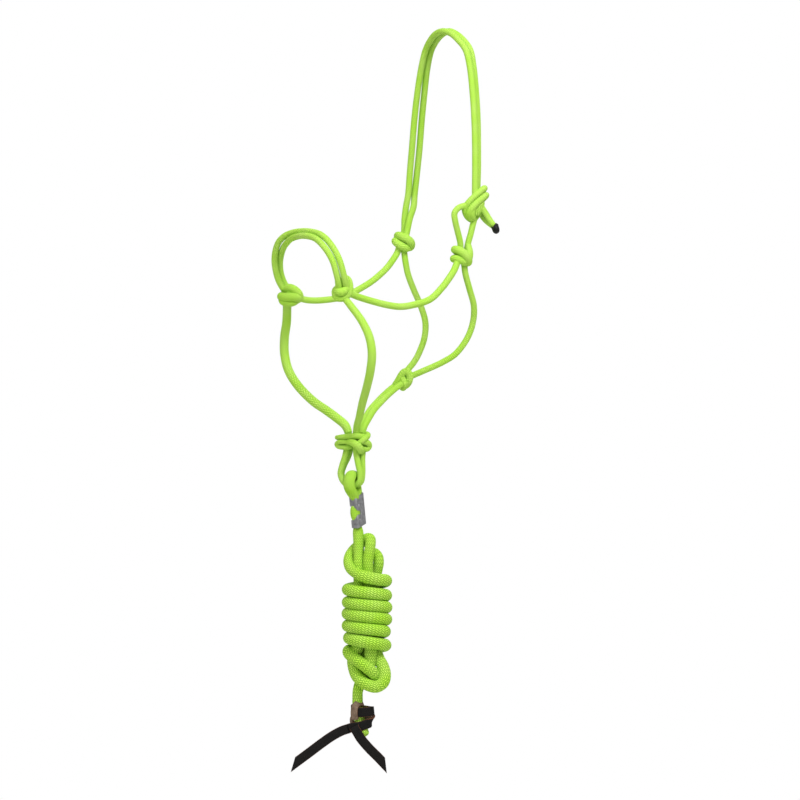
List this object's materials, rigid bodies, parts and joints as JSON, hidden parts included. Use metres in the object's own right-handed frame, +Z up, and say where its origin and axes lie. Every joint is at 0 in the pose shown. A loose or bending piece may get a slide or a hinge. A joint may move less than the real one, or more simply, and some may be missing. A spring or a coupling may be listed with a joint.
{
  "type": "rope halter",
  "caption": "Knotted horse halter of one thin braided rope, with a thicker lead rope that is clamped to its lower loops, wound into a hank and ends in a leather popper.",
  "frame": {"origin": "under the middle of the crown, where it rests on the poll behind the horse's ears", "axes": "+Z up; the noseband is towards -Y; +X is the horse's left, where the crown is tied"},
  "size_m": [0.225, 0.2574, 0.9897],
  "materials": {
    "halter_rope": "lime green braided polyester cord, matt with a slight sheen",
    "lead_rope": "lime green braided polyester rope, matt with a slight sheen",
    "clamp_steel": "zinc plated folded sheet, dull and lightly scuffed",
    "cap_plastic": "black heat-shrunk end cap, satin",
    "leather": "near-black smooth leather with brown cut edges and a suede back"
  },
  "bodies": {
    "halter": {"crown_strand_front": "halter_rope", "crown_strand_rear": "halter_rope", "tie_knot": "halter_rope", "crown_tail_upper": "halter_rope", "crown_tail_lower": "halter_rope", "crown_tail_cap": "cap_plastic", "tie_loop_front": "halter_rope", "tie_loop_rear": "halter_rope", "cheek_knot_left": "halter_rope", "cheek_knot_right": "halter_rope", "cheek_strand_left": "halter_rope", "cheek_strand_right": "halter_rope", "nose_knot_left": "halter_rope", "nose_knot_right": "halter_rope", "noseband_strand_outer": "halter_rope", "noseband_strand_inner": "halter_rope", "chin_strand_left": "halter_rope", "chin_strand_right": "halter_rope", "throat_strand_left": "halter_rope", "throat_strand_right": "halter_rope", "throat_knot": "halter_rope", "jaw_strand_left": "halter_rope", "jaw_strand_right": "halter_rope", "fiador_knot": "halter_rope"},
    "chin_loops": {"lead_loop_front": "halter_rope", "lead_loop_rear": "halter_rope"},
    "lead": {"lead_eye": "lead_rope", "lead_clamp": "clamp_steel", "lead_splice": "lead_rope", "lead_standing": "lead_rope", "lead_hank": "lead_rope", "lead_tail": "lead_rope", "popper_knot": "leather"},
    "popper_end_left": {"popper_tail_left": "leather"},
    "popper_end_right": {"popper_tail_right": "leather"}
  },
  "joints": [
    {"name": "chin_loops_swing", "type": "hinge", "parent": "halter", "child": "chin_loops", "pos_m": [0.004, -0.139, -0.5545], "axis": [0.7771, 0.6293, 0], "range_deg": [-40, 40]},
    {"name": "lead_swing", "type": "hinge", "parent": "chin_loops", "child": "lead", "pos_m": [-0.00113, -0.14315, -0.5996], "axis": [0.7771, 0.6293, 0], "range_deg": [-60, 60]},
    {"name": "popper_end_left_swing", "type": "hinge", "parent": "lead", "child": "popper_end_left", "pos_m": [0.015, -0.14519, -0.929], "axis": [0.4692, 0.7222, 0.5082], "range_deg": [-60, 3]},
    {"name": "popper_end_right_swing", "type": "hinge", "parent": "lead", "child": "popper_end_right", "pos_m": [0.00415, -0.15603, -0.924], "axis": [0.172, 0.2649, -0.9488], "range_deg": [-60, 60]}
  ]
}
